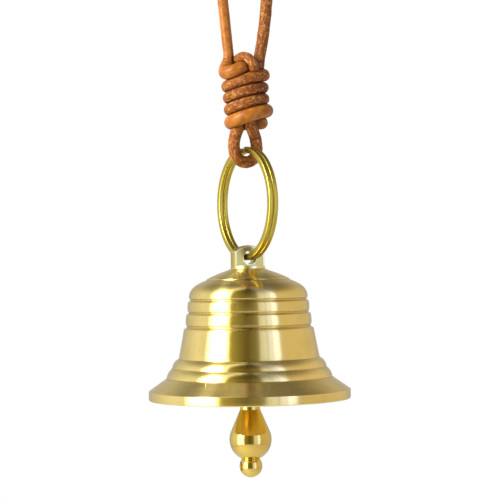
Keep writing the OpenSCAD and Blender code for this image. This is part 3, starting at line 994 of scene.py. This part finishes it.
# Light that comes from each side, as (degrees round from the front towards the right, red, green, blue)
LIGHT_ROUND = [(-180, 0.5, 0.5, 0.5), (-155, 0.55, 0.55, 0.55), (-120, 0.85, 0.85, 0.9), (-100, 1.02, 1.04, 1.15),
               (-78, 1.02, 1.05, 1.2),
               (-74, 4.8, 4.8, 4.8), (-40, 4.8, 4.8, 4.8), (-36, 1.2, 1.2, 0.9), (-32, 0.42, 0.38, 0.12),
               (-14, 0.24, 0.21, 0.07), (-3, 0.14, 0.12, 0.05), (12, 0.26, 0.24, 0.15), (17, 0.36, 0.35, 0.3),
               (20, 0.8, 0.84, 1.1), (31, 0.95, 1.1, 1.7), (32.5, 0.5, 0.55, 0.8), (34, 1.0, 1.15, 1.9),
               (41, 1.1, 1.3, 2.6), (42.5, 0.7, 0.8, 1.2), (44, 1.6, 1.8, 3.6), (53, 1.6, 1.8, 3.4),
               (57, 0.76, 0.74, 0.85), (66, 0.76, 0.68, 0.58), (110, 0.78, 0.7, 0.62), (135, 0.7, 0.64, 0.58),
               (155, 0.5, 0.48, 0.45), (180, 0.5, 0.5, 0.5)]
LIGHT_UP = [(-1, 0.75), (-0.2, 0.95), (0.0, 1.0), (0.45, 1.0), (0.6, 0.72), (0.72, 0.45), (0.85, 0.29), (0.93, 0.27), (0.97, 0.33), (1, 0.45)]


class BELLMAKER_OT_stage(bpy.types.Operator):
    """Sets the camera, the pale floor and the soft studio light"""

    bl_idname = "bellmaker.stage"
    bl_label = "Stage"

    def execute(self, context):
        scene = context.scene
        data = bpy.data.cameras.new("front_camera")
        data.lens, data.sensor_width, data.clip_start, data.clip_end = 117.3, 36, 0.01, 20
        camera = bpy.data.objects.new("front_camera", data)
        scene.collection.objects.link(camera)
        stand, aim = Vector((0.00065, -0.43, -0.08253)), Vector((0.00065, 0, -0.07723))
        look_at = (aim - stand).to_track_quat("-Z", "Y").to_matrix().to_4x4()
        camera.matrix_world = Matrix.Translation(stand) @ look_at @ Matrix.Rotation(math.radians(-0.91), 4, "Z")
        scene.camera = camera
        scene.view_settings.view_transform = "Standard"
        self.make_floor(scene)
        self.make_light(scene)
        return {"FINISHED"}

    def make_floor(self, scene):
        """A round pale floor, well under the hanging bell."""
        deselect()
        bpy.ops.mesh.primitive_circle_add(vertices=128, radius=1.2, fill_type="NGON", location=(0, 0, -0.62))
        floor = bpy.context.active_object
        floor.name = "floor"
        bpy.ops.object.transform_apply(location=True)
        material, tree, shader = new_material("floor_paper")
        place = put(tree, "ShaderNodeTexCoord").outputs["Object"]
        tone = ranged(tree, grain(tree, place, 9.0, 3.0), 0.3, 0.7)
        colour = opaque(scene.finish_colours.floor)
        tree.links.new(mixed(tree, tone, colour, tuple(c * 0.97 for c in colour[:3]) + (1,)),
                       shader.inputs["Base Color"])
        shader.inputs["Roughness"].default_value = 0.7
        floor.data.materials.append(material)

    def make_light(self, scene):
        """Soft light from all round: two tall bright panels, a dim gap between them, and a white backdrop."""
        world = bpy.data.worlds.new("studio_light")
        scene.world = world
        world.use_nodes = True
        tree = world.node_tree
        tree.nodes.clear()
        way = put(tree, "ShaderNodeTexCoord").outputs["Generated"]
        apart = put(tree, "ShaderNodeSeparateXYZ", {0: way}).outputs
        angle = work(tree, "ARCTAN2", apart[0], work(tree, "MULTIPLY", apart[1], -1.0))
        turn = work(tree, "MULTIPLY_ADD", angle, 1 / math.tau, 0.5)
        ramp = self.ramp(tree, turn, [((a + 180) / 360, (r, g, b)) for a, r, g, b in LIGHT_ROUND])
        rise = work(tree, "MULTIPLY_ADD", apart[2], 0.5, 0.5)
        height = self.ramp(tree, rise, [((z + 1) / 2, (v, v, v)) for z, v in LIGHT_UP])
        light = mixed(tree, 1.0, ramp, height, "MULTIPLY")
        lit = put(tree, "ShaderNodeBackground", {"Color": light, "Strength": 1.0})
        seen = put(tree, "ShaderNodeBackground", {"Color": (1, 1, 1, 1), "Strength": 1.0})
        camera = put(tree, "ShaderNodeLightPath").outputs["Is Camera Ray"]
        both = put(tree, "ShaderNodeMixShader", {0: camera, 1: lit.outputs[0], 2: seen.outputs[0]})
        output = put(tree, "ShaderNodeOutputWorld")
        tree.links.new(both.outputs[0], output.inputs["Surface"])
        self.make_key(scene)

    def make_key(self, scene):
        """A lamp in the left panel, which gives the leather its shading."""
        data = bpy.data.lights.new("key_light", "AREA")
        data.shape, data.size, data.size_y, data.energy = "RECTANGLE", 0.28, 0.6, 9.0
        lamp = bpy.data.objects.new("key_light", data)
        scene.collection.objects.link(lamp)
        side = math.radians(-58)
        place = Vector((math.sin(side), -math.cos(side), 0.42)) * 0.85
        lamp.matrix_world = Matrix.Translation(place) @ (Vector((0, 0, -0.05)) - place).to_track_quat(
            "-Z", "Y").to_matrix().to_4x4()
        lamp.visible_camera = False

    @staticmethod
    def ramp(tree, value, stops):
        """A colour ramp with those stops, each a place and a colour."""
        node = put(tree, "ShaderNodeValToRGB", {0: value})
        bar_ = node.color_ramp
        while len(bar_.elements) > 1:
            bar_.elements.remove(bar_.elements[0])
        bar_.elements[0].position, bar_.elements[0].color = stops[0][0], opaque(stops[0][1])
        for at, colour in stops[1:]:
            bar_.elements.new(at).color = opaque(colour)
        return node.outputs[0]


# ---------------------------------------------------------------- add-on


STEPS = ("stage", "leather_cord", "split_ring", "bell_shell", "hanger_lug", "crown_fixings", "clapper_link",
         "clapper")
OPERATORS = (BELLMAKER_OT_stage, BELLMAKER_OT_leather_cord, BELLMAKER_OT_split_ring, BELLMAKER_OT_bell_shell,
             BELLMAKER_OT_hanger_lug, BELLMAKER_OT_crown_fixings, BELLMAKER_OT_clapper_link, BELLMAKER_OT_clapper)
GROUPS = {"bell_sizes": BellSizes, "cord_sizes": CordSizes, "finish_colours": FinishColours}


class BELLMAKER_PT_panel(bpy.types.Panel):
    """Sizes, colours and steps of the temple bell"""

    bl_idname = "BELLMAKER_PT_panel"
    bl_label = "Temple bell"
    bl_space_type = "VIEW_3D"
    bl_region_type = "UI"
    bl_category = "Temple Bell"

    def draw(self, context):
        for name, group in GROUPS.items():
            box = self.layout.box()
            box.label(text=group.__doc__)
            for key in group.__annotations__:
                box.prop(getattr(context.scene, name), key)
        for operator in OPERATORS:
            self.layout.operator(operator.bl_idname)


def register():
    for made in (*GROUPS.values(), *OPERATORS, BELLMAKER_PT_panel):
        bpy.utils.register_class(made)
    for name, group in GROUPS.items():
        setattr(bpy.types.Scene, name, bpy.props.PointerProperty(type=group))


def unregister():
    for name in GROUPS:
        delattr(bpy.types.Scene, name)
    for made in reversed((*GROUPS.values(), *OPERATORS, BELLMAKER_PT_panel)):
        bpy.utils.unregister_class(made)


def main():
    register()
    for step in STEPS:
        getattr(bpy.ops.bellmaker, step)()


if __name__ == "__main__":
    main()
